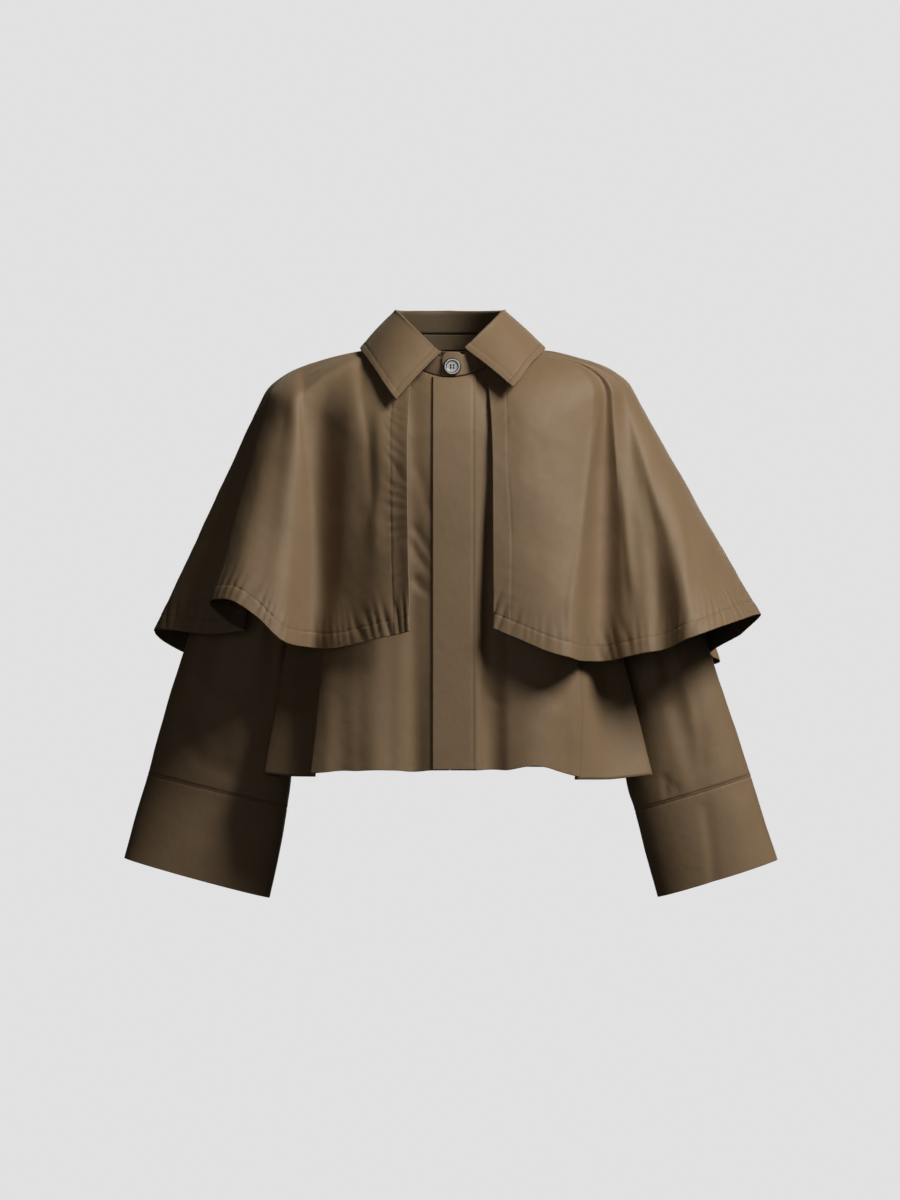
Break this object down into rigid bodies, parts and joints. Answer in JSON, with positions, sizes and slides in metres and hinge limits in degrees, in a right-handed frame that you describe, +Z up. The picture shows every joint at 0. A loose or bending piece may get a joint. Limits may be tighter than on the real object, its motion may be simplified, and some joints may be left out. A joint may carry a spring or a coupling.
{
  "type": "cape jacket",
  "caption": "Cropped jacket with an open-fronted shoulder cape, shirt collar, covered front and wide cuffed sleeves, filled out as if worn.",
  "frame": {"origin": "centre of the neck at the height of the shoulder-neck points, where the wearer's shoulders hold the jacket", "axes": "+X towards the wearer's left, -Y out of the front, +Z up"},
  "size_m": [0.787, 0.3573, 0.7085],
  "materials": {
    "gabardine": "brown-olive cotton gabardine, tightly woven, with a slight sheen",
    "button": "polished grey four-hole button with a dark rim"
  },
  "bodies": {
    "root": {"front_right": "gabardine", "front_left": "gabardine", "placket": "gabardine", "side_panel_right": "gabardine", "side_panel_left": "gabardine", "back": "gabardine", "sleeve_right": "gabardine", "sleeve_left": "gabardine", "cuff_right": "gabardine", "cuff_left": "gabardine", "cape_front_right": "gabardine", "cape_front_left": "gabardine", "cape_back": "gabardine", "collar_stand": "gabardine", "collar_fall": "gabardine", "neck_button": "button"}
  },
  "joints": []
}
